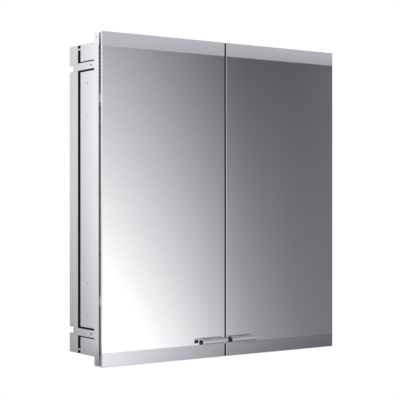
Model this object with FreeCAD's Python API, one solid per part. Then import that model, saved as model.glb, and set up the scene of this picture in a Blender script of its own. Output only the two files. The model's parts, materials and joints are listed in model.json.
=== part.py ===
"""Recessed mirror cabinet with two glass doors and a light band along the top and the bottom.

The frame: +X to the right, +Y to the back (into the wall), +Z up. The origin is the centre of the rear face.
Depths are measured backwards from the front face of the door glass, and back() turns one into a Y position.
Left-hand pieces are drawn, and the right-hand ones are their mirror images.
"""
import FreeCAD, Part
import os

from FreeCAD import Vector

# Driving dimensions of the whole cabinet
WIDTH = 600.0
HEIGHT = 660.0
DEPTH = 131.0
WALL_PLANE = 30.7
BODY_HEIGHT = 623.0
CENTRE_GAP = 4.0

# Glass
DOOR_GLASS = 6.0
INNER_MIRROR = 2.4
BAND_EDGE = 302.0
MIRROR_INSET = 2.8

# Sheet metal and profiles
CHEEK = 2.0
SHEET = 1.5
SIDE_CAVITY = 8.0
LIP_FRONT = 14.5
LIP_BACK = 19.9
TAB_END = 329.5
TAB_RADIUS = 3.0
GROOVE_FRONT = 86.1
GROOVE_BACK = 97.0
SEAL_OVERLAP = 4.0
BRIDGE_LOW = 301.5
BRIDGE_HIGH = 304.5
FOLD_CLEARANCE = 0.2

# Light housings
HOUSING_FRONT = 12.6
HOUSING_SEAT = 0.5
HOUSING_LIP_LOW = 308.0
HOUSING_LIP_HIGH = 326.0
DIFFUSER = 2.0
DIFFUSER_END_GAP = 0.5
DIFFUSER_SET_BACK = 0.5
BOARD = 1.6
BOARD_HALF_LENGTH = 285.0
BOARD_LOW = 311.0
BOARD_HIGH = 323.0
CHIP_COUNT = 24
CHIP_WIDTH = 3.5
CHIP_HEIGHT = 2.8
CHIP_RISE = 0.8

# Fixing straps in the sides
STRAP_Z = 267.75
STRAP_HEIGHT = 14.5
STRAP_FRONT = 31.0
STRAP_END = 116.2
STRAP_HOLE_DEPTH = 44.0
STRAP_RIVET_DEPTH = 71.0
FIXING_RADIUS = 2.25
INNER_SLIT = 4.2
OUTER_SLIT = 2.4
REAR_SLOT_GAP = 0.35
NOTCH_LOW = 260.0
NOTCH_HIGH = 272.0
PAD_REACH = 3.0

# Hinges
PIVOT_X = 297.2
PIVOT_DEPTH = 11.2
PIN_RADIUS = 1.0
RUNNING_GAP = 0.05
KNUCKLE_RADIUS = 2.2
HINGE_Z = 199.8
HINGE_SCREW_DEPTH = 58.9
HINGE_SCREW_OFFSET = 32.7
HINGE_SCREW_HOLE = 2.0
HINGE_SHANK = 1.5
HINGE_PLATE = 2.5
PLATE_HALF = 13.0
PLATE_FRONT = 36.0
PLATE_REAR = 82.0
WING_HALF = 41.0
WING_HALF_WIDTH = 8.0
ARM_HALF = 8.0
ARM_FRONT = PIVOT_DEPTH - 1.0
ARM_REAR = 76.0
ARM_SHEET = 2.2
ARM_INNER_X = 279.5
EAR_END = 18.0
EAR_GAP = 0.3
PIN_HEAD_RADIUS = 1.8
PIN_HEAD = 1.0
LEAF_OUTER_X = 292.8
LEAF_INNER_X = 240.0
LEAF_HALF = 20.0
CLAMP_BLOCK_X = (272.0, 244.0)
CLAMP_BLOCK_HALF = 14.0
CLAMP_BLOCK_RISE = 6.0

# Grips
GRIP_NEAR = 6.0
GRIP_LENGTH = 62.6
GRIP_REACH = 17.7
GRIP_TOP = -288.8
GRIP_HEIGHT = 14.4
GRIP_WALL = 1.6
GRIP_TOP_ROUND = 6.0
GRIP_LIP_ROUND = 6.0

# Shelves
SHELF_Z = 104.0
SHELF_GLASS = 5.0
SHELF_FRONT = 34.0
SHELF_BACK = 123.0
RAIL_DEPTHS = (95.0, 116.0)
RAIL_HALF_LENGTH = 170.0
RAIL_HALF_WIDTH = 5.0
RAIL_RISE = 4.0
RAIL_SHEET = 1.0
RAIL_MOUTH = 2.0
CLAMP_GAP = 5.0
CLAMP_REACH = 14.0
CLAMP_JAW = 2.0
CLAMP_HALF_DEPTH = 6.0
CLAMP_TOP = 6.0
CLAMP_BOTTOM = 8.0

# Electrical compartment and light switch
BOX_HALF_WIDTH = 110.0
BOX_FRONT = 88.0
BOX_BOTTOM = 282.0
SWITCH_X = 80.0
SWITCH_Z = 296.0
ENTRY_X = 92.0
ENTRY_Z = 296.0
ENTRY_BORE = 5.0
GROMMET_WALL = 3.0
GROMMET_FLANGE = 3.0
GROMMET_COLLAR = 1.2
COVER_SHEET = 1.0
COVER_SCREW_X = (-98.0, 104.0)
COVER_SCREW_Z = 303.0
COVER_SCREW = 1.5
COVER_SCREW_HEAD = 3.0
COVER_SCREW_RISE = 1.8
SWITCH_BARREL = 8.0
SWITCH_RIM = 10.0
SWITCH_RIM_RISE = 1.5
BARREL_LENGTH = 18.0
BUTTON_RADIUS = 6.0
BUTTON_LENGTH = 14.0
BUTTON_STAND = 2.5
SPRING_RADIUS = 3.6
SPRING_WIRE = 0.8
SPRING_TURNS = 3.5

# Places that follow from the sizes above
SIDE_X = WIDTH / 2
CHEEK_IN = SIDE_X - CHEEK
WALL_OUT = CHEEK_IN - SIDE_CAVITY
WALL_IN = WALL_OUT - SHEET
BODY_TOP = BODY_HEIGHT / 2
PANEL_UNDER = BODY_TOP - SHEET
REAR_FACE = DEPTH - SHEET
BOARD_FACE = WALL_PLANE - SHEET - BOARD
BUTTON_FRONT = BOX_FRONT - SWITCH_RIM_RISE - BUTTON_STAND
PLATE_FACE = -WALL_IN + HINGE_PLATE
DOOR_BACK = DOOR_GLASS + INNER_MIRROR
CLAMP_X = WALL_IN - CLAMP_GAP

# Places of the flush screws and rivets that show on a side, as (depth, z, hole radius)
TAB_SCREW = (21.0, 321.5, 2.2)
STRAP_RIVET = (STRAP_RIVET_DEPTH, STRAP_Z, 2.4)
SHANK_SHARE = 0.55

X = Vector(1, 0, 0)
Y = Vector(0, 1, 0)
Z = Vector(0, 0, 1)

os.makedirs("parts", exist_ok=True)


def back(depth):
    """Y position of a depth behind the front face of the door glass."""
    return depth - DEPTH


def box(x0, x1, depth0, depth1, z0, z1):
    """Block between two X positions, two depths and two heights."""
    return Part.makeBox(x1 - x0, depth1 - depth0, z1 - z0, Vector(x0, back(depth0), z0))


def rod(radius, length, x, depth, z, axis):
    """Round bar that starts at a point and runs along an axis."""
    return Part.makeCylinder(radius, length, Vector(x, back(depth), z), axis)


def cone(radius0, radius1, length, x, depth, z, axis):
    """Tapered bar that starts at a point and runs along an axis."""
    return Part.makeCone(radius0, radius1, length, Vector(x, back(depth), z), axis)


def side_plate(points, x0, thickness):
    """Plate from an outline of (depth, z) points, as thick as stated along +X."""
    corners = [Vector(x0, back(depth), z) for depth, z in points]
    face = Part.Face(Part.makePolygon(corners + corners[:1]))
    return face.extrude(Vector(thickness, 0, 0))


def plan_prism(points, z0, height):
    """Prism from an outline of (x, depth) points, as tall as stated along +Z."""
    corners = [Vector(x, back(depth), z0) for x, depth in points]
    face = Part.Face(Part.makePolygon(corners + corners[:1]))
    return face.extrude(Vector(0, 0, height))


def fillet_along(shape, direction, radius, chosen=lambda edge: True):
    """Round the straight edges that run along a direction."""
    edges = []
    for edge in shape.Edges:
        if not isinstance(edge.Curve, Part.Line):
            continue
        if abs(abs(edge.tangentAt(edge.FirstParameter).dot(direction)) - 1) < 1e-6 and chosen(edge):
            edges.append(edge)
    return shape.makeFillet(radius, edges)


def round_end(bar, depth, radius):
    """Round the circular edges of a bar at a depth."""
    rims = [edge for edge in bar.Edges if is_circle(edge) and abs(edge.CenterOfMass.y - back(depth)) < 0.01]
    return bar.makeFillet(radius, rims)


def is_circle(edge):
    return isinstance(edge.Curve, Part.Circle)


def flip_x(shape):
    return shape.mirror(Vector(0, 0, 0), Vector(1, 0, 0))


def flip_z(shape):
    return shape.mirror(Vector(0, 0, 0), Vector(0, 0, 1))


def upper_and_lower(shape):
    """The shape and its image below the middle of the cabinet."""
    return [shape, flip_z(shape)]


def save(name, *solids):
    """Write one piece, or a group of separate like pieces, as one node."""
    shape = solids[0] if len(solids) == 1 else Part.makeCompound(list(solids))
    if not shape.isValid():
        raise ValueError(f"{name} is not a valid shape")
    shape.exportStep(f"parts/{name}.step")
    print(f"{name}: {len(shape.Solids)} solid, {shape.Volume / 1000:.2f} cm3")


def save_pair(name, *left_solids):
    """Write a left-hand node and its mirror image on the right."""
    save(f"left_{name}", *left_solids)
    save(f"right_{name}", *[flip_x(solid) for solid in left_solids])


def save_both_sides(name, *left_solids):
    """Write the left-hand solids and their mirror images as one node."""
    save(name, *left_solids, *[flip_x(solid) for solid in left_solids])


def countersunk(depth, z, head_radius, length, drive):
    """Flush screw in the left side: a conical head, a shank to the right and a drive recess."""
    head_depth = 1.2
    shank_radius = head_radius * SHANK_SHARE
    head = cone(head_radius, shank_radius, head_depth, -SIDE_X, depth, z, X)
    shank = rod(shank_radius, length - head_depth, -SIDE_X + head_depth, depth, z, X)
    screw = head.fuse(shank).removeSplitter()
    if drive:
        slot_half = head_radius * SHANK_SHARE
        slot_width = head_radius * 0.14
        slot_depth = 0.7
        slot_end = -SIDE_X + slot_depth
        flat = box(-SIDE_X, slot_end, depth - slot_half, depth + slot_half, z - slot_width, z + slot_width)
        tall = box(-SIDE_X, slot_end, depth - slot_width, depth + slot_width, z - slot_half, z + slot_half)
        screw = screw.cut(flat.fuse(tall))
    return screw


def countersink(depth, z, head_radius):
    """Space for a countersunk screw through the left cheek."""
    return countersunk(depth, z, head_radius, CHEEK, False)


def strap_hole(x0, x1):
    """Fixing hole on the strap's line, through whatever lies between two X positions."""
    return rod(FIXING_RADIUS, x1 - x0, x0, STRAP_HOLE_DEPTH, STRAP_Z, X)


# ---------------------------------------------------------------- sides


def front_cheek():
    """Outer side sheet in front of the groove, with a tab at each end that closes the light housing."""
    half = [
        (LIP_BACK, 0),
        (LIP_BACK, BAND_EDGE),
        (HOUSING_FRONT, BAND_EDGE),
        (HOUSING_FRONT, TAB_END),
        (WALL_PLANE, TAB_END),
        (WALL_PLANE, BODY_TOP),
        (GROOVE_FRONT, BODY_TOP),
        (GROOVE_FRONT, 0),
    ]
    upper = side_plate(half, -SIDE_X, CHEEK)
    upper = fillet_along(upper, X, TAB_RADIUS, is_tab_corner)
    slot_low = STRAP_Z - STRAP_HEIGHT / 2 - INNER_SLIT
    slot_high = STRAP_Z + STRAP_HEIGHT / 2 + OUTER_SLIT
    upper = upper.cut(box(-SIDE_X, -CHEEK_IN, STRAP_FRONT, GROOVE_FRONT, slot_low, slot_high))
    upper = upper.cut(countersink(*TAB_SCREW))
    upper = upper.fuse(box(-SIDE_X, -CHEEK_IN, GROOVE_FRONT, GROOVE_BACK, BRIDGE_LOW, BRIDGE_HIGH))
    for offset in (-HINGE_SCREW_OFFSET, HINGE_SCREW_OFFSET):
        upper = upper.cut(rod(HINGE_SCREW_HOLE, CHEEK, -SIDE_X, HINGE_SCREW_DEPTH, HINGE_Z + offset, X))
    return upper.fuse(flip_z(upper)).removeSplitter()


def is_tab_corner(edge):
    """True for the rear corner at the end of a tab."""
    place = edge.CenterOfMass
    return abs(place.y - back(WALL_PLANE)) < 0.01 and place.z > TAB_END - 1


def rear_cheek():
    """Outer side sheet behind the groove, with a stiffening fold, the strap's slot and a rear notch."""
    fold = GROOVE_BACK + SEAL_OVERLAP + FOLD_CLEARANCE
    upper = box(-SIDE_X, -CHEEK_IN, GROOVE_BACK, DEPTH, 0, BODY_TOP)
    upper = upper.fuse(box(-CHEEK_IN, -WALL_OUT - FOLD_CLEARANCE, fold, fold + SHEET, 0, PANEL_UNDER))
    slot_low = STRAP_Z - STRAP_HEIGHT / 2 - REAR_SLOT_GAP
    slot_high = STRAP_Z + STRAP_HEIGHT / 2 + REAR_SLOT_GAP
    upper = upper.cut(box(-SIDE_X, -CHEEK_IN, GROOVE_BACK, STRAP_END + REAR_SLOT_GAP, slot_low, slot_high))
    upper = upper.cut(box(-SIDE_X, -CHEEK_IN, STRAP_END, DEPTH, NOTCH_LOW, NOTCH_HIGH))
    return upper.fuse(flip_z(upper)).removeSplitter()


def groove_seal():
    """Dark strip behind the gap between the two cheeks."""
    front = GROOVE_FRONT - SEAL_OVERLAP
    rear = GROOVE_BACK + SEAL_OVERLAP
    return box(-CHEEK_IN, -CHEEK_IN + SHEET, front, rear, -BODY_TOP, BODY_TOP)


def strap():
    """Flat fixing strap that lies flush in both cheeks and crosses the groove."""
    low = STRAP_Z - STRAP_HEIGHT / 2
    high = STRAP_Z + STRAP_HEIGHT / 2
    plate = box(-SIDE_X, -CHEEK_IN, STRAP_FRONT, STRAP_END, low, high)
    plate = plate.cut(strap_hole(-SIDE_X, -CHEEK_IN))
    return plate.cut(countersink(*STRAP_RIVET))


def strap_backing():
    """Dark pad behind the strap's slot, inside the side cavity."""
    low = STRAP_Z - STRAP_HEIGHT / 2 - INNER_SLIT - PAD_REACH
    high = STRAP_Z + STRAP_HEIGHT / 2 + OUTER_SLIT + PAD_REACH
    pad = box(-CHEEK_IN, -WALL_OUT, STRAP_FRONT - PAD_REACH, GROOVE_FRONT - SEAL_OVERLAP, low, high)
    pad = pad.cut(strap_hole(-CHEEK_IN, -WALL_OUT))
    return pad.cut(rod(STRAP_RIVET[2] * SHANK_SHARE, SIDE_CAVITY, -CHEEK_IN, STRAP_RIVET_DEPTH, STRAP_Z, X))


def side_screws():
    """Flush screws of the tabs and flush rivets of the straps."""
    tab_length = 6.0
    rivet_length = SIDE_X - WALL_OUT
    screws = upper_and_lower(countersunk(*TAB_SCREW, tab_length, True))
    return screws + upper_and_lower(countersunk(*STRAP_RIVET, rivet_length, False))


def front_trim():
    """Polished bar down the front edge of the side, behind the door's edge."""
    bar = box(-SIDE_X, -WALL_IN, LIP_FRONT, LIP_BACK, -BAND_EDGE, BAND_EDGE)
    return fillet_along(bar, Z, 0.8, lambda e: e.CenterOfMass.y < back(LIP_FRONT) + 0.01)


def inner_wall():
    """Inside face of the cabinet's side."""
    wall = box(-WALL_OUT, -WALL_IN, LIP_BACK, REAR_FACE, -BAND_EDGE, BAND_EDGE)
    seat = WALL_PLANE - HOUSING_SEAT
    wall = wall.fuse(box(-WALL_OUT, -WALL_IN, seat, REAR_FACE, -PANEL_UNDER, PANEL_UNDER)).removeSplitter()
    for hole in upper_and_lower(strap_hole(-WALL_OUT, -WALL_IN)):
        wall = wall.cut(hole)
    for shank in hinge_screw_shanks():
        wall = wall.cut(shank)
    return wall


def corner_bracket():
    """Angle that joins a cheek to the top panel inside the side cavity."""
    front, rear, leg = 45.0, 75.0, 24.0
    upright = box(-CHEEK_IN, -CHEEK_IN + SHEET, front, rear, PANEL_UNDER - leg, PANEL_UNDER)
    shelf = box(-CHEEK_IN, -WALL_OUT, front, rear, PANEL_UNDER - SHEET, PANEL_UNDER)
    return upright.fuse(shelf).removeSplitter()


# ---------------------------------------------------------------- top, bottom and back


def end_panel():
    """Top sheet of the recessed body."""
    sheet = box(-CHEEK_IN, CHEEK_IN, WALL_PLANE - HOUSING_SEAT, DEPTH, PANEL_UNDER, BODY_TOP)
    return sheet.cut(groove_seal()).cut(flip_x(groove_seal()))


def back_panel():
    """Rear sheet between the inner walls, with the cable entry's hole."""
    sheet = box(-WALL_OUT, WALL_OUT, REAR_FACE, DEPTH, -PANEL_UNDER, PANEL_UNDER)
    return sheet.cut(rod(ENTRY_BORE + GROMMET_WALL, SHEET, ENTRY_X, REAR_FACE, ENTRY_Z, Y))


def rear_mirror():
    """Mirror glass on the inside of the back, below the electrical compartment."""
    thickness = 3.0
    return box(-WALL_IN, WALL_IN, REAR_FACE - thickness, REAR_FACE, -PANEL_UNDER, BOX_BOTTOM)


# ---------------------------------------------------------------- lighting


def light_housing():
    """Channel along the top, with a slot for the diffuser in front and a seat for the top panel behind."""
    inner_front = HOUSING_FRONT + SHEET
    inner_rear = WALL_PLANE - HOUSING_SEAT - SHEET
    shell = box(-CHEEK_IN, CHEEK_IN, HOUSING_FRONT, WALL_PLANE, BAND_EDGE, TAB_END)
    hollow = box(-CHEEK_IN, CHEEK_IN, inner_front, inner_rear, BAND_EDGE + SHEET, TAB_END - SHEET)
    slot = box(-CHEEK_IN, CHEEK_IN, HOUSING_FRONT, inner_front, HOUSING_LIP_LOW, HOUSING_LIP_HIGH)
    seat = box(-CHEEK_IN, CHEEK_IN, WALL_PLANE - HOUSING_SEAT, WALL_PLANE, BAND_EDGE, BODY_TOP)
    shell = shell.cut(hollow).cut(slot).cut(seat)
    shank = rod(TAB_SCREW[2] * SHANK_SHARE, 4.0, -CHEEK_IN, TAB_SCREW[0], TAB_SCREW[1], X)
    return shell.cut(shank).cut(flip_x(shank))


def diffuser():
    """Opal strip that sits behind the housing's lips and fills its slot."""
    end = CHEEK_IN - DIFFUSER_END_GAP
    inner = HOUSING_FRONT + SHEET
    sheet = box(-end, end, inner, inner + DIFFUSER, BAND_EDGE + SHEET, TAB_END - SHEET)
    window = box(-end, end, HOUSING_FRONT + DIFFUSER_SET_BACK, inner, HOUSING_LIP_LOW, HOUSING_LIP_HIGH)
    return sheet.fuse(window).removeSplitter()


def led_strip():
    """Circuit board on the housing's rear wall, with a row of light chips."""
    front = BOARD_FACE - HOUSING_SEAT
    strip = box(-BOARD_HALF_LENGTH, BOARD_HALF_LENGTH, front, front + BOARD, BOARD_LOW, BOARD_HIGH)
    pitch = 2 * BOARD_HALF_LENGTH / CHIP_COUNT
    left, low = -CHIP_WIDTH / 2, (BOARD_LOW + BOARD_HIGH - CHIP_HEIGHT) / 2
    for number in range(CHIP_COUNT):
        x = -BOARD_HALF_LENGTH + pitch * (number + 0.5) + left
        strip = strip.fuse(box(x, x + CHIP_WIDTH, front - CHIP_RISE, front, low, low + CHIP_HEIGHT))
    return strip.removeSplitter()


# ---------------------------------------------------------------- electrical compartment


def driver_cover():
    """Folded cover under the top panel that closes off the electrical parts."""
    sheet, bend = COVER_SHEET, 3.0
    hollow = folded_block(BOX_HALF_WIDTH - sheet, BOX_FRONT + sheet, BOX_BOTTOM + sheet, bend - sheet)
    shell = folded_block(BOX_HALF_WIDTH, BOX_FRONT, BOX_BOTTOM, bend).cut(hollow)
    shell = shell.cut(rod(SWITCH_BARREL, sheet, SWITCH_X, BOX_FRONT, SWITCH_Z, Y))
    for x in COVER_SCREW_X:
        shell = shell.cut(rod(COVER_SCREW, sheet, x, BOX_FRONT, COVER_SCREW_Z, Y))
    return shell


def folded_block(half_width, front, bottom, radius):
    """Block up to the top panel and the back, rounded along its lower front edge."""
    block = box(-half_width, half_width, front, REAR_FACE, bottom, PANEL_UNDER)
    corner = Vector(0, back(front), bottom)
    return fillet_along(block, X, radius, lambda e: e.CenterOfMass.distanceToPoint(corner) < 0.01)


def cover_screws():
    """Pan-head screws that hold the cover."""
    front = BOX_FRONT - COVER_SCREW_RISE
    reach, half_width, drive_depth = 1.7, 0.3, 1.0
    screws = []
    for x in COVER_SCREW_X:
        head = rod(COVER_SCREW_HEAD, COVER_SCREW_RISE, x, front, COVER_SCREW_Z, Y)
        head = round_end(head, front, 0.8)
        shank = rod(COVER_SCREW, 8.0, x, BOX_FRONT, COVER_SCREW_Z, Y)
        drive = cross_block(x, COVER_SCREW_Z, front, drive_depth, reach, half_width)
        screws.append(head.fuse(shank).removeSplitter().cut(drive))
    return screws


def cross_block(x, z, front, depth, reach, half_width):
    """Upright cross, used as the space of a screw's drive."""
    across = box(x - reach, x + reach, front, front + depth, z - half_width, z + half_width)
    upright = box(x - half_width, x + half_width, front, front + depth, z - reach, z + reach)
    return across.fuse(upright)


def led_driver():
    """Power supply block with a fixing ear at each end, hung under the top panel."""
    left, right, front, rear, bottom = -92.0, 20.0, 97.0, 125.0, 286.5
    ear, ear_front, ear_rear, ear_sheet = 8.0, 105.0, 117.0, 2.0
    block = fillet_along(box(left, right, front, rear, bottom, PANEL_UNDER), Z, 2.0)
    ears = box(left - ear, right + ear, ear_front, ear_rear, PANEL_UNDER - ear_sheet, PANEL_UNDER)
    return block.fuse(ears).removeSplitter()


def terminal_block():
    """Row of three cable terminals beside the power supply."""
    count, pitch, left, front, rear, bottom = 3, 9.0, 34.0, 108.0, 122.0, 296.0
    wire_hole, wire_depth, wire_z = 2.2, 8.0, 300.5
    screw_hole, screw_depth = 1.9, 2.5
    block = box(left, left + count * pitch, front, rear, bottom, PANEL_UNDER)
    for number in range(count):
        x = left + pitch * (number + 0.5)
        block = block.cut(rod(wire_hole, wire_depth, x, front, wire_z, Y))
        block = block.cut(rod(screw_hole, screw_depth, x, (front + rear) / 2, bottom, Z))
    return block


def cable_grommet():
    """Rubber ring in the back panel's cable entry."""
    front = REAR_FACE - GROMMET_COLLAR
    ring = rod(ENTRY_BORE + GROMMET_WALL, SHEET, ENTRY_X, REAR_FACE, ENTRY_Z, Y)
    flange = rod(ENTRY_BORE + GROMMET_WALL + GROMMET_FLANGE, GROMMET_COLLAR, ENTRY_X, front, ENTRY_Z, Y)
    bore = rod(ENTRY_BORE, GROMMET_COLLAR + SHEET, ENTRY_X, front, ENTRY_Z, Y)
    return ring.fuse(flange).removeSplitter().cut(bore)


def switch_housing():
    """Light switch body: a rim on the cover and a barrel that guides the button."""
    front = BOX_FRONT - SWITCH_RIM_RISE
    rim = round_end(rod(SWITCH_RIM, SWITCH_RIM_RISE, SWITCH_X, front, SWITCH_Z, Y), front, 0.7)
    barrel = rod(SWITCH_BARREL, BARREL_LENGTH, SWITCH_X, BOX_FRONT, SWITCH_Z, Y)
    bore = rod(BUTTON_RADIUS + RUNNING_GAP, BARREL_LENGTH, SWITCH_X, front, SWITCH_Z, Y)
    return rim.fuse(barrel).removeSplitter().cut(bore)


def switch_button():
    """Round push button with a rounded face."""
    body = rod(BUTTON_RADIUS, BUTTON_LENGTH, SWITCH_X, BUTTON_FRONT, SWITCH_Z, Y)
    return round_end(body, BUTTON_FRONT, 1.0)


def switch_spring():
    """Return spring of flat wire between the button and the bottom of its barrel."""
    start = BUTTON_FRONT + BUTTON_LENGTH
    rise = BOX_FRONT + BARREL_LENGTH - SWITCH_RIM_RISE - start - SPRING_WIRE
    helix = Part.makeHelix(rise / SPRING_TURNS, rise, SPRING_RADIUS)
    half = SPRING_WIRE / 2
    corners = [
        Vector(SPRING_RADIUS - half, 0, -half),
        Vector(SPRING_RADIUS + half, 0, -half),
        Vector(SPRING_RADIUS + half, 0, half),
        Vector(SPRING_RADIUS - half, 0, half),
    ]
    section = Part.makePolygon(corners + corners[:1])
    coil = Part.Wire(helix.Edges).makePipeShell([section], True, True)
    coil.rotate(Vector(0, 0, 0), X, -90)
    coil.translate(Vector(SWITCH_X, back(start + half), SWITCH_Z))
    return coil


# ---------------------------------------------------------------- hinges


def hinge_screw_shanks():
    """Shanks of the hinge screws, which run from the plate's face to the outside of the left cheek."""
    shanks = []
    length = SIDE_X + PLATE_FACE
    for level in (HINGE_Z, -HINGE_Z):
        for offset in (-HINGE_SCREW_OFFSET, HINGE_SCREW_OFFSET):
            shanks.append(rod(HINGE_SHANK, length, PLATE_FACE, HINGE_SCREW_DEPTH, level + offset, -X))
    return shanks


def hinge_plate(level):
    """Cross-shaped mounting plate on the inner wall."""
    wing_front, wing_rear = HINGE_SCREW_DEPTH - WING_HALF_WIDTH, HINGE_SCREW_DEPTH + WING_HALF_WIDTH
    body = box(-WALL_IN, PLATE_FACE, PLATE_FRONT, PLATE_REAR, level - PLATE_HALF, level + PLATE_HALF)
    wings = box(-WALL_IN, PLATE_FACE, wing_front, wing_rear, level - WING_HALF, level + WING_HALF)
    plate = fillet_along(body.fuse(wings).removeSplitter(), X, 4.0)
    for shank in hinge_screw_shanks():
        plate = plate.cut(shank)
    return plate


def hinge_screws():
    """Socket screws of both hinge plates on one side."""
    head_radius, head_rise, head_round = 3.2, 2.0, 0.9
    socket_radius, socket_depth = 1.2, 1.1
    screws = []
    for shank in hinge_screw_shanks():
        centre = shank.CenterOfMass
        start = Vector(PLATE_FACE, centre.y, centre.z)
        head = Part.makeCylinder(head_radius, head_rise, start, X)
        top = [e for e in head.Edges if is_circle(e) and e.CenterOfMass.x > PLATE_FACE + head_rise - 0.01]
        head = head.makeFillet(head_round, top)
        socket = Part.makeCylinder(socket_radius, socket_depth, start + X * (head_rise - socket_depth), X)
        screws.append(head.fuse(shank).removeSplitter().cut(socket))
    return screws


def hinge_arm(level):
    """Bent arm on the plate: it reaches in front of the side's trim and carries the middle knuckle."""
    adjuster_depth, lock_depth, recess = 66.0, 50.0, 1.2
    low, height = level - ARM_HALF, 2 * ARM_HALF
    outline = [
        (-PIVOT_X, ARM_FRONT),
        (-ARM_INNER_X, ARM_FRONT),
        (-ARM_INNER_X, ARM_REAR),
        (PLATE_FACE, ARM_REAR),
        (PLATE_FACE, ARM_FRONT + ARM_SHEET),
        (-PIVOT_X, ARM_FRONT + ARM_SHEET),
    ]
    arm = fillet_along(plan_prism(outline, low, height), Z, 2.5, is_arm_bend)
    arm = arm.fuse(rod(KNUCKLE_RADIUS, height, -PIVOT_X, PIVOT_DEPTH, low, Z)).removeSplitter()
    arm = arm.cut(rod(PIN_RADIUS, height, -PIVOT_X, PIVOT_DEPTH, low, Z))
    arm = arm.cut(rod(2.6, recess, -ARM_INNER_X - recess, adjuster_depth, level, X))
    return arm.cut(rod(2.0, recess, -ARM_INNER_X - recess, lock_depth, level, X))


def is_arm_bend(edge):
    """True for the outer corner of a hinge arm's bend."""
    place = edge.CenterOfMass
    return place.x > -ARM_INNER_X - 0.01 and place.y < back(ARM_FRONT) + 0.01


def hinge_pin(level):
    """Pivot pin, pressed into the arm's knuckle, with a head above and below the door's knuckles."""
    reach = EAR_END + EAR_GAP
    pin = rod(PIN_RADIUS, 2 * reach, -PIVOT_X, PIVOT_DEPTH, level - reach, Z)
    upper = rod(PIN_HEAD_RADIUS, PIN_HEAD, -PIVOT_X, PIVOT_DEPTH, level + reach, Z)
    lower = rod(PIN_HEAD_RADIUS, PIN_HEAD, -PIVOT_X, PIVOT_DEPTH, level - reach - PIN_HEAD, Z)
    return pin.fuse(upper).fuse(lower).removeSplitter()


def hinge_leaf(level):
    """Plate on the back of the door, with two knuckles on the pin and a raised clamping block."""
    rear = DOOR_BACK + SHEET
    leaf = box(-LEAF_OUTER_X, -LEAF_INNER_X, DOOR_BACK, rear, level - LEAF_HALF, level + LEAF_HALF)
    leaf = fillet_along(leaf, Y, 4.0, lambda e: e.CenterOfMass.x > -LEAF_INNER_X - 10.0)
    leaf = leaf.fuse(clamping_block(level, rear))
    root, front = -LEAF_OUTER_X + 0.8, DOOR_BACK + 0.4
    for low, high in ((ARM_HALF + EAR_GAP, EAR_END), (-EAR_END, -ARM_HALF - EAR_GAP)):
        leaf = leaf.fuse(box(-PIVOT_X, root, front, rear, level + low, level + high))
        leaf = leaf.fuse(rod(KNUCKLE_RADIUS, high - low, -PIVOT_X, PIVOT_DEPTH, level + low, Z))
    bore = rod(PIN_RADIUS + RUNNING_GAP, 2 * EAR_END, -PIVOT_X, PIVOT_DEPTH, level - EAR_END, Z)
    return leaf.removeSplitter().cut(bore)


def clamping_block(level, front):
    """Raised block on a hinge leaf, with rounded corners and a chamfered rim."""
    outer, inner = CLAMP_BLOCK_X
    rear = DOOR_BACK + CLAMP_BLOCK_RISE
    block = box(-outer, -inner, front, rear, level - CLAMP_BLOCK_HALF, level + CLAMP_BLOCK_HALF)
    block = fillet_along(block, Y, 3.0)
    return block.makeChamfer(0.8, [e for e in block.Edges if abs(e.CenterOfMass.y - back(rear)) < 0.01])


def leaf_screws(level):
    """Two socket screws in the clamping block of a door's hinge leaf."""
    x = -sum(CLAMP_BLOCK_X) / 2
    head_radius, head_rise, socket_radius, socket_depth = 3.0, 1.6, 1.4, 1.0
    start = DOOR_BACK + CLAMP_BLOCK_RISE
    socket_start = start + head_rise - socket_depth
    screws = []
    for z in (level - CLAMP_BLOCK_HALF / 2, level + CLAMP_BLOCK_HALF / 2):
        head = rod(head_radius, head_rise, x, start, z, Y)
        screws.append(head.cut(rod(socket_radius, socket_depth, x, socket_start, z, Y)))
    return screws


# ---------------------------------------------------------------- doors


def door_glass():
    """Front pane of a door, mirror in the middle and frosted along the top and the bottom."""
    edge = 0.6
    pane = box(-SIDE_X, -CENTRE_GAP / 2, 0, DOOR_GLASS, -HEIGHT / 2, HEIGHT / 2)
    front_edges = [e for e in pane.Edges if abs(e.CenterOfMass.y - back(0)) < 0.01]
    return pane.makeChamfer(edge, front_edges)


def inner_mirror():
    """Thin mirror on the back of a door, between the light bands."""
    inset = 2.0
    return box(-SIDE_X + MIRROR_INSET, -CENTRE_GAP / 2 - inset, DOOR_GLASS, DOOR_BACK, -BAND_EDGE, BAND_EDGE)


def round_along(block, depth, level, radius):
    """Round the edge that runs along X at a depth and a level."""

    def is_there(edge):
        place = edge.CenterOfMass
        return abs(place.y - back(depth)) < 0.01 and abs(place.z - level) < 0.01

    return fillet_along(block, X, radius, is_there)


def door_grip():
    """Short channel-shaped grip on the glass: glued leg, top plate and rolled front lip, open underneath."""
    near, far = -GRIP_NEAR, -GRIP_NEAR - GRIP_LENGTH
    front, bottom = -GRIP_REACH, GRIP_TOP - GRIP_HEIGHT
    bar = box(far, near, front, 0, bottom, GRIP_TOP)
    bar = round_along(bar, front, GRIP_TOP, GRIP_TOP_ROUND)
    bar = round_along(bar, front, bottom, GRIP_LIP_ROUND)
    inner, under = front + GRIP_WALL, GRIP_TOP - GRIP_WALL
    channel = box(far, near, inner, -GRIP_WALL, bottom, under)
    return bar.cut(round_along(channel, inner, under, GRIP_TOP_ROUND - GRIP_WALL))


def door_bumpers():
    """Soft buffers near the free edge of a door that meet the light housings."""
    gap = 0.3
    radius, x, z = 2.5, -12.0, 305.0
    return upper_and_lower(rod(radius, HOUSING_FRONT - gap - DOOR_GLASS, x, DOOR_GLASS, z, Y))


# ---------------------------------------------------------------- shelves


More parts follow.
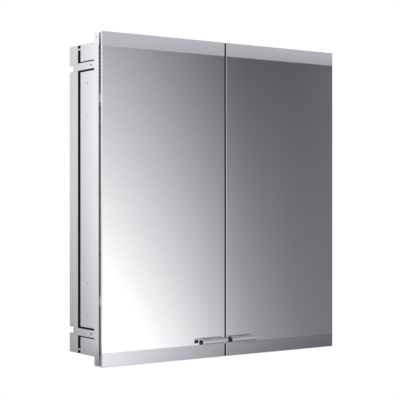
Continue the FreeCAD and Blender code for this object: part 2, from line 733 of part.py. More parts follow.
def shelf_rail(depth):
    """Slotted rail down the inner wall."""
    outer, face = -WALL_IN, -WALL_IN + RAIL_RISE
    half, inside = RAIL_HALF_WIDTH, RAIL_HALF_WIDTH - RAIL_SHEET
    low, high = -RAIL_HALF_LENGTH, RAIL_HALF_LENGTH
    rail = box(outer, face, depth - half, depth + half, low, high)
    channel = box(outer + RAIL_SHEET, face - RAIL_SHEET, depth - inside, depth + inside, low, high)
    mouth = box(outer + RAIL_SHEET, face, depth - RAIL_MOUTH, depth + RAIL_MOUTH, low, high)
    return rail.cut(channel).cut(mouth)


def shelf_clamp(depth, level):
    """Clamp with a T-shaped foot in the rail and a jaw around the shelf's edge."""
    play = 0.3
    tip = -CLAMP_X + CLAMP_REACH
    foot_start, foot_end = -WALL_IN + RAIL_SHEET + play, -WALL_IN + RAIL_RISE - RAIL_SHEET - play
    foot_half, neck_half = RAIL_HALF_WIDTH - RAIL_SHEET - play, RAIL_MOUTH - play
    half = CLAMP_HALF_DEPTH
    low, high = level - CLAMP_TOP, level + CLAMP_TOP
    foot = box(foot_start, foot_end, depth - foot_half, depth + foot_half, low, high)
    neck = box(foot_end, -CLAMP_X, depth - neck_half, depth + neck_half, low, high)
    body = box(-CLAMP_X, tip, depth - half, depth + half, level - CLAMP_BOTTOM, high)
    body = fillet_along(body, Y, 1.5, lambda e: e.CenterOfMass.x > tip - 0.1)
    jaw_half = SHELF_GLASS / 2
    jaw = box(-CLAMP_X + CLAMP_JAW, tip, depth - half, depth + half, level - jaw_half, level + jaw_half)
    return foot.fuse(neck).fuse(body.cut(jaw)).removeSplitter()


def shelf_clamps(level):
    left = [shelf_clamp(depth, level) for depth in RAIL_DEPTHS]
    return left + [flip_x(clamp) for clamp in left]


def shelf_glass(level):
    """Clear glass shelf with rounded corners and polished edges."""
    half_width = CLAMP_X - CLAMP_JAW
    half = SHELF_GLASS / 2
    pane = box(-half_width, half_width, SHELF_FRONT, SHELF_BACK, level - half, level + half)
    pane = fillet_along(pane, Z, 6.0, lambda e: e.CenterOfMass.y < back(SHELF_FRONT) + 0.01)
    return pane.makeChamfer(0.5, [e for e in pane.Edges if abs(abs(e.CenterOfMass.z - level) - half) < 0.01])


# ---------------------------------------------------------------- all nodes


def make_body():
    save_pair("front_cheek", front_cheek())
    save_pair("rear_cheek", rear_cheek())
    save_pair("groove_seal", groove_seal())
    save_pair("straps", *upper_and_lower(strap()))
    save_both_sides("strap_backings", *upper_and_lower(strap_backing()))
    save_both_sides("side_screws", *side_screws())
    save_pair("front_trim", front_trim())
    save_pair("inner_wall", inner_wall())
    save_both_sides("corner_brackets", *upper_and_lower(corner_bracket()))
    save("top_panel", end_panel())
    save("bottom_panel", flip_z(end_panel()))
    save("back_panel", back_panel())
    save("rear_mirror", rear_mirror())


def make_lighting():
    save("top_light_housing", light_housing())
    save("bottom_light_housing", flip_z(light_housing()))
    save("top_diffuser", diffuser())
    save("bottom_diffuser", flip_z(diffuser()))
    save("top_led_strip", led_strip())
    save("bottom_led_strip", flip_z(led_strip()))
    save("driver_cover", driver_cover())
    save("cover_screws", *cover_screws())
    save("led_driver", led_driver())
    save("terminal_block", terminal_block())
    save("cable_grommet", cable_grommet())
    save("switch_housing", switch_housing())
    save("switch_button", switch_button())
    save("switch_spring", switch_spring())


def make_doors():
    save_pair("door_glass", door_glass())
    save_pair("inner_mirror", inner_mirror())
    save_pair("door_grip", door_grip())
    save_pair("door_bumpers", *door_bumpers())


def make_hinges():
    levels = (HINGE_Z, -HINGE_Z)
    save_pair("hinge_plates", *[hinge_plate(level) for level in levels])
    save_pair("hinge_screws", *hinge_screws())
    save_pair("hinge_arms", *[hinge_arm(level) for level in levels])
    save_pair("hinge_pins", *[hinge_pin(level) for level in levels])
    save_pair("hinge_leaves", *[hinge_leaf(level) for level in levels])
    save_pair("leaf_screws", *[screw for level in levels for screw in leaf_screws(level)])


def make_shelves():
    save_pair("shelf_rails", *[shelf_rail(depth) for depth in RAIL_DEPTHS])
    for name, level in (("upper", SHELF_Z), ("lower", -SHELF_Z)):
        save(f"{name}_shelf_glass", shelf_glass(level))
        save(f"{name}_shelf_clamps", *shelf_clamps(level))


make_body()
make_lighting()
make_doors()
make_hinges()
make_shelves()
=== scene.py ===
"""Looks for the recessed mirror cabinet: finishes, door glass, soft details, studio and camera."""

import json
import math

import bmesh
import bpy
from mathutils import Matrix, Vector


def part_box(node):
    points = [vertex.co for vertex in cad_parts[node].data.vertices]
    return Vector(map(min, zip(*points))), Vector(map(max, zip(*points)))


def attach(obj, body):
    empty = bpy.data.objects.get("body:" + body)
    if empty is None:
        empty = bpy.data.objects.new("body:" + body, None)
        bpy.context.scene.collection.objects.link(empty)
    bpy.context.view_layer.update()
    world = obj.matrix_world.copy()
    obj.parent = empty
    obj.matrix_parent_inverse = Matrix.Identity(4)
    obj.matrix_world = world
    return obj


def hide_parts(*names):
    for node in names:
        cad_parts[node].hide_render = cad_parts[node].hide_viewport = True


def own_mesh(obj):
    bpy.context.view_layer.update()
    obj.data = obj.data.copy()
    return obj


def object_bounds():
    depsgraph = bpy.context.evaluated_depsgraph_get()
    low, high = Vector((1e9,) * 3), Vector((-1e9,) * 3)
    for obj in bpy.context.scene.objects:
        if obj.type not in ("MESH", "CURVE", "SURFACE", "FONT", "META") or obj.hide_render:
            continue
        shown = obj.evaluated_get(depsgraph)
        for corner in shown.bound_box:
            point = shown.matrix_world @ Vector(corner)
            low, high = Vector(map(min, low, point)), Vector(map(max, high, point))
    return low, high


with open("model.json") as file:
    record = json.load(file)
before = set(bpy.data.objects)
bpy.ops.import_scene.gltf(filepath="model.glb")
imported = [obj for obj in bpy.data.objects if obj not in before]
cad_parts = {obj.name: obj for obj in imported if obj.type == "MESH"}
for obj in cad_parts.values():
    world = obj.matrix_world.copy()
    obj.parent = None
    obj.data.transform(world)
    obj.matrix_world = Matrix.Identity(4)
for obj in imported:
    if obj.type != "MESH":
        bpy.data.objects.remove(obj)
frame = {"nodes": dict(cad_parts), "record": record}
CAD_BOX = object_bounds()
NODES = frame["nodes"]

MM = 0.001
SAME_PLACE = 1e-6

# Camera: its place from the middle of the glass front, its heading, and the lens on its sensor
CAMERA_OFFSET = Vector((-1.4655, -1.9824, -0.0051))
CAMERA_HEADING = math.radians(-35.228)
CAMERA_LENS = 105.3
CAMERA_SHIFT = 0.00481
SENSOR = 36.0

# Door glass: bevels up the sides, along the top and bottom, and round the back; and where the bands begin
BEVEL = 0.5 * MM
LEVEL_BEVEL = 0.7 * MM
BACK_BEVEL = 0.4 * MM
BAND_EDGE = 301.6 * MM

# Black lip on the doors' free edges, which paints the shade in the gap between the doors, and the round of
# its corners
GAP_STRIP_RISE = 0.8 * MM
GAP_STRIP_ROUND = 0.48 * MM

# Dark lining of the grips, which paints the shade inside them: its thickness, its distance from their ends,
# and where it starts behind their lips
GRIP_WALL = 1.6 * MM
LINER = 0.7 * MM
LINER_INSET = 0.4 * MM
LINER_START = 4.6 * MM
LINER_CORNER = 3 * LINER

# Nodes that take another finish than their slot's own
LEVEL_NODES = (
    "top_panel", "bottom_panel", "top_light_housing", "bottom_light_housing", "left_straps", "right_straps",
)
# Hinges in a near-black finish: painted shade, so that the knuckles in the door gaps read dark
SHADED_HINGE_NODES = ("left_hinge_leaves", "right_hinge_leaves", "left_hinge_pins", "right_hinge_pins")

# Grains: how finely the noise varies along each axis, per metre
ALONG_Z = (900.0, 900.0, 7.0)
ALONG_X = (7.0, 900.0, 900.0)
EVEN = (350.0, 350.0, 350.0)
BROAD = (3.0, 3.0, 3.0)

# General finishes: darkest and lightest tone, metal share, roughness range, grain, its height in metres,
# and the specular level where it isn't the usual one
FINISHES = {
    "polished_trim": ((0.80, 0.81, 0.82), (0.87, 0.88, 0.89), 0.72, (0.16, 0.26), ALONG_Z, 0.00001),
    # Near-black strip finish: painted shade for the gap between the doors
    "black_seal": ((0.004, 0.004, 0.005), (0.009, 0.009, 0.01), 0.0, (0.6, 0.8), EVEN, 0.00004, 0.12),
    "screw_steel": ((0.52, 0.53, 0.54), (0.66, 0.67, 0.68), 1.0, (0.2, 0.34), EVEN, 0.00001),
    "hinge_nickel": ((0.48, 0.475, 0.46), (0.60, 0.59, 0.57), 1.0, (0.16, 0.28), EVEN, 0.00001),
    # Near-black hinge finish: painted shade for the knuckles in the door gaps
    "hinge_painted_shade": ((0.15, 0.15, 0.155), (0.20, 0.20, 0.205), 1.0, (0.16, 0.28), EVEN, 0.00001),
    "chrome_grip": ((0.80, 0.81, 0.82), (0.84, 0.85, 0.86), 1.0, (0.04, 0.09), ALONG_X, 0.000003),
    "led_board": ((0.80, 0.80, 0.76), (0.88, 0.88, 0.84), 0.0, (0.4, 0.55), EVEN, 0.00001),
    "cover_sheet": ((0.46, 0.47, 0.48), (0.53, 0.54, 0.55), 0.0, (0.42, 0.58), EVEN, 0.00005),
    "white_plastic": ((0.80, 0.80, 0.78), (0.86, 0.86, 0.84), 0.0, (0.4, 0.55), EVEN, 0.00003),
    "switch_plastic": ((0.86, 0.86, 0.85), (0.90, 0.90, 0.89), 0.0, (0.22, 0.34), EVEN, 0.00001),
    # Dark grip lining: painted shade for the inside of the grips
    "grip_painted_shade": ((0.10, 0.10, 0.105), (0.14, 0.14, 0.145), 0.0, (0.45, 0.6), EVEN, 0.00002),
    "backing_paint": ((0.40, 0.41, 0.42), (0.46, 0.47, 0.48), 0.0, (0.4, 0.55), EVEN, 0.00002),
    "soft_rubber": ((0.26, 0.26, 0.27), (0.34, 0.34, 0.35), 0.0, (0.4, 0.6), EVEN, 0.00002),
    "floor": ((0.74, 0.74, 0.74), (0.78, 0.78, 0.78), 0.0, (0.6, 0.7), BROAD, 0.0005),
}

FLOOR_DROP = 1.5
FLOOR_HALF = 1.2

# Lamps: name, place, aim, width and height, power
LAMPS = (
    ("side_light", (-0.578, 0.335, 0.06), (-0.3, -0.13, 0.05), (0.03, 0.85), 0.095),
    ("floor_light", (0.0, 0.0, -0.9), (0.0, 0.001, -2.0), (2.2, 2.2), 5.0),
    ("top_light", (0.2, -0.9, 1.2), (0.1, -0.1, 0.3), (1.4, 0.4), 4.0),
)

# The studio round the cabinet. Headings are degrees to the right of straight out from the doors, and rises
# are degrees above the level. A fade is where a step starts and ends, then its levels if not 0 and 1.

# What the mirrors show: a glow low and to the left that fades to grey, up and to the right
MIRROR_HEADINGS = (29.9, 42.4)
MIRROR_RISES = (8.0, -8.0)
TONE_AT_TOP = [(0.0, 0.71), (0.5, 0.43), (0.75, 0.36), (1.0, 0.42)]
GAIN_BELOW = [(0.0, 0.54), (0.5, 0.4), (1.0, 0.05)]
GAMMA = 2.2

# Where the frosted bands take over from the mirrors at the left heading, and how they close in to the right
UPPER_RISE = 7.65
LOWER_RISE = -7.48
RISE_LEAN = 1.07

# Under the mirrors: darker to the right and downwards
UNDER_FADE = (-0.7, 0.0)
SHADE_POWER = 1.5
SHADE_SPAN = 0.97
SHADE_LEAST = 0.02
FALL_PER_DEGREE = 0.14
FALL_LEAST = 0.3

# Low in front, and beyond the mirrors' right end
LOW_FADE = (-16.0, -10.5)
LOW_LEVEL = 0.3
BEYOND_FADE = (45.0, 54.0)
BEYOND_LEVEL = 0.26

# Over the mirrors
CEILING_FADE = (0.1, 0.5)
CEILING_LEVEL = 0.78
CEILING_GAIN = 0.2
CEILING_FALL = (12.0, 30.0, 1.0, 0.4)

# How far the front sector reaches
SECTOR_LEFT = (5.0, 29.0)
SECTOR_RIGHT = (95.0, 60.0)
SECTOR_RISE = (60.0, 30.0)

# The rest: calm, dimmer above, below and straight out; behind on the left, bright above and dark below
CALM_ABOVE = (8.0, 45.0, 0.85, 0.32)
CALM_BELOW = (-35.0, -4.0, 0.25, 1.0)
DIM_HEADING = 9.0
DIM_FADE = (1.0, 25.0, 0.5, 1.0)
REAR_HEADING = (-100.0, -125.0)
REAR_RISE = (60.0, 25.0)
REAR_FADE = (-13.0, 3.0, 0.2, 0.8)

# Slightly cool light: the power that each channel's level is raised to
RED_POWER = 1.01
BLUE_POWER = 0.96


# ---------------------------------------------------------------- shader helpers


def new_material(name):
    """Empty node material with a Principled shader, and that shader's node."""
    material = bpy.data.materials.new(name)
    material.use_nodes = True
    return material, material.node_tree.nodes["Principled BSDF"]


def link(tree, source, target):
    tree.links.new(source, target)


def coordinates(tree, scale):
    """Position on the piece in metres, stretched by a factor along each axis."""
    place = tree.nodes.new("ShaderNodeTexCoord")
    mapping = tree.nodes.new("ShaderNodeMapping")
    mapping.inputs["Scale"].default_value = scale
    link(tree, place.outputs["Object"], mapping.inputs["Vector"])
    return mapping.outputs["Vector"]


def noise(tree, scale, detail=3.0, roughness=0.5):
    """Fractal noise on the stretched position, from 0 to 1."""
    texture = tree.nodes.new("ShaderNodeTexNoise")
    texture.inputs["Scale"].default_value = 1.0
    texture.inputs["Detail"].default_value = detail
    texture.inputs["Roughness"].default_value = roughness
    link(tree, coordinates(tree, scale), texture.inputs["Vector"])
    return texture.outputs["Fac"]


def map_range(tree, value, start, end, low=0.0, high=1.0, smooth=False):
    """Map a range to another, stopping at its ends, in a straight line or a smooth step."""
    span = tree.nodes.new("ShaderNodeMapRange")
    span.interpolation_type = "SMOOTHSTEP" if smooth else "LINEAR"
    span.inputs["From Min"].default_value = start
    span.inputs["From Max"].default_value = end
    span.inputs["To Min"].default_value = low
    span.inputs["To Max"].default_value = high
    link(tree, value, span.inputs["Value"])
    return span.outputs["Result"]


def step(tree, value, start, end, low=0.0, high=1.0):
    """Smooth step between two values."""
    return map_range(tree, value, start, end, low, high, smooth=True)


def spread(tree, value, low, high, start=0.3, end=0.7):
    """Map a noise value to a range."""
    return map_range(tree, value, start, end, low, high)


def tint(tree, value, dark, light, start=0.3, end=0.7):
    """Colour between two tones, chosen by a noise value."""
    ramp = tree.nodes.new("ShaderNodeValToRGB")
    ramp.color_ramp.elements[0].position = start
    ramp.color_ramp.elements[1].position = end
    ramp.color_ramp.elements[0].color = (*dark, 1.0)
    ramp.color_ramp.elements[1].color = (*light, 1.0)
    link(tree, value, ramp.inputs["Fac"])
    return ramp.outputs["Color"]


def bump(tree, shader, value, distance, strength=1.0):
    """Raise the surface by a height field, in metres."""
    node = tree.nodes.new("ShaderNodeBump")
    node.inputs["Distance"].default_value = distance
    node.inputs["Strength"].default_value = strength
    link(tree, value, node.inputs["Height"])
    link(tree, node.outputs["Normal"], shader.inputs["Normal"])


def finish(name, dark, light, metallic, rough, grain, height, specular=0.5):
    """General finish: grain varies the tone, the roughness and the surface together."""
    material, shader = new_material(name)
    tree = material.node_tree
    value = noise(tree, grain)
    shader.inputs["Metallic"].default_value = metallic
    shader.inputs["Specular IOR Level"].default_value = specular
    link(tree, tint(tree, value, dark, light), shader.inputs["Base Color"])
    link(tree, spread(tree, value, *rough), shader.inputs["Roughness"])
    bump(tree, shader, value, height)
    return material


# ---------------------------------------------------------------- finishes


def brushed_aluminium(name, grain):
    """Satin anodised sheet with fine brushing, and broad soft clouding from the rolling."""
    material, shader = new_material(name)
    tree = material.node_tree
    streaks = noise(tree, grain, detail=4.0, roughness=0.6)
    clouds = noise(tree, (7.0, 7.0, 5.0), detail=1.0)
    shader.inputs["Metallic"].default_value = 1.0
    tone = tint(tree, streaks, (0.73, 0.74, 0.76), (0.80, 0.81, 0.825))
    link(tree, tone, shader.inputs["Base Color"])
    link(tree, spread(tree, clouds, 0.19, 0.23), shader.inputs["Roughness"])
    bump(tree, shader, streaks, 0.00002, 0.35)
    return material


def zinc_sheet():
    """Galvanised sheet with a faint crystal spangle."""
    material, shader = new_material("galvanised_sheet")
    tree = material.node_tree
    cells = tree.nodes.new("ShaderNodeTexVoronoi")
    cells.inputs["Scale"].default_value = 1.0
    link(tree, coordinates(tree, (90.0, 90.0, 90.0)), cells.inputs["Vector"])
    grey = tree.nodes.new("ShaderNodeRGBToBW")
    link(tree, cells.outputs["Color"], grey.inputs["Color"])
    shader.inputs["Metallic"].default_value = 0.9
    tone = tint(tree, grey.outputs["Val"], (0.50, 0.52, 0.53), (0.64, 0.66, 0.67), 0.0, 1.0)
    link(tree, tone, shader.inputs["Base Color"])
    link(tree, spread(tree, grey.outputs["Val"], 0.38, 0.52, 0.0, 1.0), shader.inputs["Roughness"])
    bump(tree, shader, noise(tree, (400.0, 400.0, 400.0)), 0.00003, 0.4)
    return material


def silvered_glass(name):
    """Mirror: nearly perfect silvering with the faintest haze of dust."""
    material, shader = new_material(name)
    tree = material.node_tree
    haze = noise(tree, (9.0, 9.0, 6.0), detail=4.0)
    shader.inputs["Metallic"].default_value = 1.0
    tone = tint(tree, haze, (0.885, 0.895, 0.91), (0.895, 0.905, 0.92))
    link(tree, tone, shader.inputs["Base Color"])
    link(tree, spread(tree, haze, 0.008, 0.02), shader.inputs["Roughness"])
    return material


def frosted_glass():
    """Etched band on the door glass: pale, satin, with a very fine grain."""
    material, shader = new_material("frosted_glass")
    tree = material.node_tree
    grain = noise(tree, (2600.0, 2600.0, 2600.0), detail=2.0)
    shader.inputs["Metallic"].default_value = 0.95
    tone = tint(tree, grain, (0.72, 0.722, 0.765), (0.78, 0.782, 0.825))
    link(tree, tone, shader.inputs["Base Color"])
    link(tree, spread(tree, grain, 0.13, 0.17), shader.inputs["Roughness"])
    bump(tree, shader, grain, 0.00001, 0.4)
    return material


def glass_edge():
    """Ground and polished edge of float glass, bright with a green cast."""
    material, shader = new_material("glass_edge")
    tree = material.node_tree
    lines = noise(tree, (60.0, 900.0, 60.0))
    shader.inputs["Metallic"].default_value = 0.35
    shader.inputs["Coat Weight"].default_value = 0.6
    shader.inputs["Coat Roughness"].default_value = 0.05
    tone = tint(tree, lines, (0.68, 0.72, 0.71), (0.80, 0.83, 0.825))
    link(tree, tone, shader.inputs["Base Color"])
    link(tree, spread(tree, lines, 0.10, 0.22), shader.inputs["Roughness"])
    return material


def clear_glass():
    """Shelf glass: clear, with a slight green cast that shows along the edges."""
    material, shader = new_material("shelf_glass")
    tree = material.node_tree
    waves = noise(tree, (14.0, 14.0, 14.0), detail=1.0)
    shader.inputs["Transmission Weight"].default_value = 1.0
    shader.inputs["IOR"].default_value = 1.5
    tone = tint(tree, waves, (0.86, 0.95, 0.925), (0.88, 0.965, 0.94))
    link(tree, tone, shader.inputs["Base Color"])
    link(tree, spread(tree, waves, 0.0, 0.015), shader.inputs["Roughness"])
    return material


def opal_plastic():
    """Light diffuser: milky and slightly translucent."""
    material, shader = new_material("opal_plastic")
    tree = material.node_tree
    flow = noise(tree, (20.0, 300.0, 300.0))
    shader.inputs["Subsurface Weight"].default_value = 0.4
    shader.inputs["Subsurface Scale"].default_value = 0.004
    tone = tint(tree, flow, (0.86, 0.86, 0.84), (0.91, 0.91, 0.89))
    link(tree, tone, shader.inputs["Base Color"])
    link(tree, spread(tree, flow, 0.35, 0.45), shader.inputs["Roughness"])
    return material


def make_finishes():
    """Every finish, under the name of the record's slot that it belongs to, or its own."""
    made = {name: finish(name, *values) for name, values in FINISHES.items()}
    made["anodised_aluminium"] = brushed_aluminium("anodised_upright", ALONG_Z)
    made["anodised_level"] = brushed_aluminium("anodised_level", ALONG_X)
    made["galvanised_sheet"] = zinc_sheet()
    made["door_mirror"] = silvered_glass("door_mirror")
    made["inner_mirror"] = silvered_glass("inner_mirror")
    made["frosted_glass"] = frosted_glass()
    made["glass_edge"] = glass_edge()
    made["shelf_glass"] = clear_glass()
    made["opal_plastic"] = opal_plastic()
    return made


def dress_nodes(finishes):
    """Give every CAD node the finish of its slot."""
    for part in frame["record"]["subparts"]:
        name = part["material_slot"]
        if part["node"] in LEVEL_NODES:
            name = "anodised_level"
        if part["node"] in SHADED_HINGE_NODES:
            name = "hinge_painted_shade"
        materials = NODES[part["node"]].data.materials
        materials.clear()
        materials.append(finishes[name])


# ---------------------------------------------------------------- pieces


def link_object(name, data):
    """New object in the scene."""
    piece = bpy.data.objects.new(name, data)
    bpy.context.scene.collection.objects.link(piece)
    return piece


def make_piece(name, form, materials):
    """Object from a form that is then freed, with its materials."""
    mesh = bpy.data.meshes.new(name)
    form.to_mesh(mesh)
    form.free()
    for material in materials:
        mesh.materials.append(material)
    return link_object(name, mesh)


def block(low, high):
    """Form of a block between two corners."""
    form = bmesh.new()
    bmesh.ops.create_cube(form, size=1.0)
    size, centre = high - low, (low + high) / 2
    for corner in form.verts:
        corner.co = Vector(a * b for a, b in zip(corner.co, size)) + centre
    return form


def bevel(form, edges, offset, segments=1):
    """Cut or round edges of a form."""
    bmesh.ops.bevel(form, geom=edges, offset=offset, segments=segments, profile=0.5, affect="EDGES")


def door_pane(side, materials):
    """Door glass with a ground bevel round the front, split into the mirror and the frosted bands."""
    low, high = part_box(f"{side}_door_glass")
    form = block(low, high)
    for level in (-BAND_EDGE, BAND_EDGE):
        everything = form.verts[:] + form.edges[:] + form.faces[:]
        bmesh.ops.bisect_plane(form, geom=everything, plane_co=(0, 0, level), plane_no=(0, 0, 1))
    rims = ((low.y, "z", LEVEL_BEVEL), (low.y, "x", BEVEL), (high.y, "xz", BACK_BEVEL))
    for depth, axes, offset in rims:
        bevel(form, [e for e in form.edges if is_rim(e, depth, low, high, axes)], offset)
    for face in form.faces:
        face.material_index = pane_zone(face, low, high)
    pane = make_piece(f"{side}_pane", form, materials)
    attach(pane, f"{side}_door")
    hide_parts(f"{side}_door_glass")


def is_rim(edge, depth, low, high, axes):
    """True for an outline edge of the pane's front or back face, at a limit along one of the axes."""
    ends = [vertex.co for vertex in edge.verts]
    if any(abs(end.y - depth) > SAME_PLACE for end in ends):
        return False
    for axis in axes:
        for limit in (getattr(low, axis), getattr(high, axis)):
            if all(abs(getattr(end, axis) - limit) < SAME_PLACE for end in ends):
                return True
    return False


def pane_zone(face, low, high):
    """0 for mirror, 1 for frosted glass, 2 for polished edge, 3 for the painted back."""
    place = face.calc_center_median()
    on_front = place.y < low.y + LEVEL_BEVEL
    on_back = place.y > high.y - BACK_BEVEL
    if abs(face.normal.y) < 0.5 or not (on_front or on_back):
        return 2
    if abs(place.z) > BAND_EDGE:
        return 1
    return 3 if on_back else 0


def gap_shade_strip(side, material):
    """Black lip down a door's free edge, just behind the glass's ground front edge: painted shade for the
    gap between the doors.
    """
    low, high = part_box(f"{side}_door_glass")
    free = high.x if side == "left" else low.x
    tip = free - math.copysign(GAP_STRIP_RISE, free)
    near = Vector((min(free, tip), low.y + BEVEL, low.z + BEVEL))
    far = Vector((max(free, tip), high.y - BACK_BEVEL, high.z - BEVEL))
    form = block(near, far)
    outer = [e for e in form.edges if all(abs(v.co.x - tip) < SAME_PLACE for v in e.verts)]
    bevel(form, outer, GAP_STRIP_ROUND, segments=3)
    shade_strip = make_piece(f"{side}_gap_shade_strip", form, [material])
    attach(shade_strip, f"{side}_door")


def grip_shade_sheet(side, material):
    """Dark lining on the leg and under the top plate of a grip, where the fingers go: painted shade for the
    grip's inside.
    """
    low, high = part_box(f"{side}_door_grip")
    leg, top = high.y - GRIP_WALL, high.z - GRIP_WALL
    start, bottom = low.y + GRIP_WALL + LINER_START, low.z + GRIP_WALL
    outline = [
        (leg, bottom),
        (leg, top),
        (start, top),
        (start, top - LINER),
        (leg - LINER_CORNER, top - LINER),
        (leg - LINER, top - LINER_CORNER),
        (leg - LINER, bottom),
    ]
    form = bmesh.new()
    near, far = (
        [form.verts.new((x, y, z)) for y, z in outline] for x in (low.x + LINER_INSET, high.x - LINER_INSET)
    )
    form.faces.new(near)
    form.faces.new(reversed(far))
    for number in range(len(outline)):
        form.faces.new((near[number], near[number - 1], far[number - 1], far[number]))
    bmesh.ops.recalc_face_normals(form, faces=form.faces[:])
    shade_sheet = make_piece(f"{side}_grip_shade_sheet", form, [material])
    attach(shade_sheet, f"{side}_door")


def switch_coil(material):
    """Return spring of the light switch: a copy of the CAD spring with its own mesh, carried with the
    cabinet.
    """
    mesh = NODES["switch_spring"].data.copy()
    mesh.materials.clear()
    mesh.materials.append(material)
    coil = link_object("switch_coil", mesh)
    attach(coil, "cabinet")
    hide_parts("switch_spring")
    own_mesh(coil)


# ---------------------------------------------------------------- studio


def calc(tree, operation, first, second=None):
    """Arithmetic node; an input is a number or another node's output."""
    node = tree.nodes.new("ShaderNodeMath")
    node.operation = operation
    for socket, value in zip(node.inputs, (first, second)):
        feed(tree, socket, value)
    return node.outputs[0]


def scaled(tree, value, factor, offset):
    """A value times a factor, plus an offset."""
    return calc(tree, "ADD", calc(tree, "MULTIPLY", value, factor), offset)


def blended(tree, factor, first, second):
    """Blend from one value to another."""
    mix = tree.nodes.new("ShaderNodeMix")
    for name, value in (("Factor", factor), ("A", first), ("B", second)):
        feed(tree, mix.inputs[name], value)
    return mix.outputs["Result"]


def feed(tree, socket, value):
    """Set a socket to a number, or link another node's output to it."""
    if isinstance(value, (int, float)):
        socket.default_value = value
    elif value is not None:
        link(tree, value, socket)


def curve(tree, value, points):
    """Smooth curve through (position, level) points, both from 0 to 1."""
    ramp = tree.nodes.new("ShaderNodeValToRGB")
    ramp.color_ramp.interpolation = "CARDINAL"
    stops = ramp.color_ramp.elements
    while len(stops) < len(points):
        stops.new(0.5)
    for stop, (position, level) in zip(stops, points):
        stop.position = position
        stop.color = (level, level, level, 1.0)
    link(tree, value, ramp.inputs["Fac"])
    grey = tree.nodes.new("ShaderNodeRGBToBW")
    link(tree, ramp.outputs["Color"], grey.inputs["Color"])
    return grey.outputs["Val"]


def under_light(tree, rise, lean, across, glow):
    """The glow, dimmed under the mirrors."""
    under = calc(tree, "SUBTRACT", calc(tree, "SUBTRACT", rise, LOWER_RISE), lean)
    shade = calc(tree, "POWER", calc(tree, "SUBTRACT", 1.0, across), SHADE_POWER)
    shade = scaled(tree, shade, SHADE_SPAN, SHADE_LEAST)
    falling = scaled(tree, under, FALL_PER_DEGREE, 1.0)
    shade = calc(tree, "MULTIPLY", shade, calc(tree, "MAXIMUM", falling, FALL_LEAST))
    return calc(tree, "MULTIPLY", glow, blended(tree, step(tree, under, *UNDER_FADE), shade, 1.0))


def front_light(tree, heading, rise):
    """What the mirrors and the frosted bands show."""
    across = map_range(tree, heading, *MIRROR_HEADINGS)
    down = map_range(tree, rise, *MIRROR_RISES)
    lean = calc(tree, "MULTIPLY", across, RISE_LEAN)
    gain = calc(tree, "MULTIPLY", curve(tree, across, GAIN_BELOW), down)
    tone = calc(tree, "ADD", curve(tree, across, TONE_AT_TOP), gain)
    glow = under_light(tree, rise, lean, across, calc(tree, "POWER", tone, GAMMA))
    glow = blended(tree, step(tree, rise, *LOW_FADE), LOW_LEVEL, glow)
    glow = blended(tree, step(tree, heading, *BEYOND_FADE), glow, BEYOND_LEVEL)
    ceiling = scaled(tree, across, CEILING_GAIN, CEILING_LEVEL)
    ceiling = calc(tree, "MULTIPLY", ceiling, step(tree, rise, *CEILING_FALL))
    above = calc(tree, "ADD", calc(tree, "SUBTRACT", rise, UPPER_RISE), lean)
    return blended(tree, step(tree, above, *CEILING_FADE), glow, ceiling)


def calm_light(tree, heading, rise, level_rise):
    """What surrounds the cabinet elsewhere."""
    calm = calc(tree, "MULTIPLY", step(tree, rise, *CALM_ABOVE), step(tree, rise, *CALM_BELOW))
    aside = calc(tree, "ABSOLUTE", calc(tree, "SUBTRACT", heading, DIM_HEADING))
    calm = calc(tree, "MULTIPLY", calm, step(tree, aside, *DIM_FADE))
    rear = calc(tree, "MULTIPLY", step(tree, heading, *REAR_HEADING), step(tree, level_rise, *REAR_RISE))
    return blended(tree, rear, calm, step(tree, rise, *REAR_FADE))


def studio_colour(tree):
    """Colour of the studio in each direction."""
    place = tree.nodes.new("ShaderNodeTexCoord")
    parts = tree.nodes.new("ShaderNodeSeparateXYZ")
    link(tree, place.outputs["Generated"], parts.inputs["Vector"])
    right, behind, up = parts.outputs
    ahead = calc(tree, "MULTIPLY", behind, -1.0)
    heading = calc(tree, "DEGREES", calc(tree, "ARCTAN2", right, ahead))
    rise = calc(tree, "DEGREES", calc(tree, "ARCSINE", up))
    level_rise = calc(tree, "ABSOLUTE", rise)
    sector = calc(tree, "MULTIPLY", step(tree, heading, *SECTOR_LEFT), step(tree, heading, *SECTOR_RIGHT))
    sector = calc(tree, "MULTIPLY", sector, step(tree, level_rise, *SECTOR_RISE))
    calm = calm_light(tree, heading, rise, level_rise)
    level = blended(tree, sector, calm, front_light(tree, heading, rise))
    colour = tree.nodes.new("ShaderNodeCombineColor")
    link(tree, calc(tree, "POWER", level, RED_POWER), colour.inputs["Red"])
    link(tree, level, colour.inputs["Green"])
    link(tree, calc(tree, "POWER", level, BLUE_POWER), colour.inputs["Blue"])
    return colour.outputs["Color"]


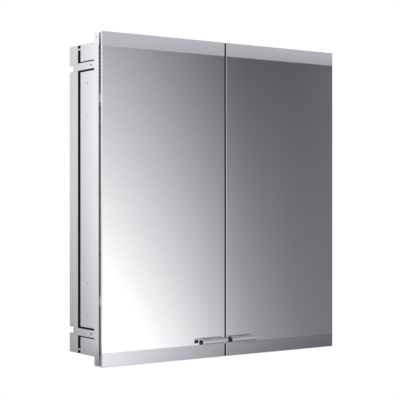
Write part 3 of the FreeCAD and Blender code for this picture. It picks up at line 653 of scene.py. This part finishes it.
def add_world():
    """Surroundings: plain white straight behind the cabinet, and the studio for light and reflections."""
    world = bpy.data.worlds.new("studio")
    bpy.context.scene.world = world
    world.use_nodes = True
    tree = world.node_tree
    tree.nodes.clear()
    studio = tree.nodes.new("ShaderNodeBackground")
    link(tree, studio_colour(tree), studio.inputs["Color"])
    backdrop = tree.nodes.new("ShaderNodeBackground")
    backdrop.inputs["Color"].default_value = (1.0, 1.0, 1.0, 1.0)
    path = tree.nodes.new("ShaderNodeLightPath")
    choose = tree.nodes.new("ShaderNodeMixShader")
    link(tree, path.outputs["Is Camera Ray"], choose.inputs["Fac"])
    link(tree, studio.outputs["Background"], choose.inputs[1])
    link(tree, backdrop.outputs["Background"], choose.inputs[2])
    output = tree.nodes.new("ShaderNodeOutputWorld")
    link(tree, choose.outputs["Shader"], output.inputs["Surface"])


def add_lamp(name, place, aim, size, power):
    """Soft rectangular light aimed at a point."""
    lamp = bpy.data.lights.new(name, "AREA")
    lamp.shape = "RECTANGLE"
    lamp.size, lamp.size_y = size
    lamp.energy = power
    holder = link_object(name, lamp)
    holder.location = place
    holder.rotation_euler = (Vector(aim) - Vector(place)).to_track_quat("-Z", "Y").to_euler()


def add_camera():
    """Level camera to the left of the cabinet's middle, with a long lens."""
    low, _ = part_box("left_door_glass")
    camera = bpy.data.cameras.new("camera")
    camera.lens = CAMERA_LENS
    camera.sensor_width = SENSOR
    camera.shift_y = CAMERA_SHIFT
    holder = link_object("camera", camera)
    holder.location = Vector((0, low.y, 0)) + CAMERA_OFFSET
    holder.rotation_euler = (math.pi / 2, 0, CAMERA_HEADING)
    bpy.context.scene.camera = holder


def add_floor(material):
    """Pale floor, well below the cabinet, because the cabinet hangs on a wall."""
    low, _ = CAD_BOX
    form = bmesh.new()
    bmesh.ops.create_grid(form, x_segments=1, y_segments=1, size=FLOOR_HALF)
    floor = make_piece("floor", form, [material])
    floor.location = (0, 0, low[2] - FLOOR_DROP)


finishes = make_finishes()
dress_nodes(finishes)
pane_finishes = [finishes[name] for name in ("door_mirror", "frosted_glass", "glass_edge", "backing_paint")]
for hand in ("left", "right"):
    door_pane(hand, pane_finishes)
    gap_shade_strip(hand, finishes["black_seal"])
    grip_shade_sheet(hand, finishes["grip_painted_shade"])
switch_coil(finishes["screw_steel"])

add_camera()
add_world()
add_floor(finishes["floor"])
for lamp_values in LAMPS:
    add_lamp(*lamp_values)
bpy.context.scene.view_settings.view_transform = "Standard"
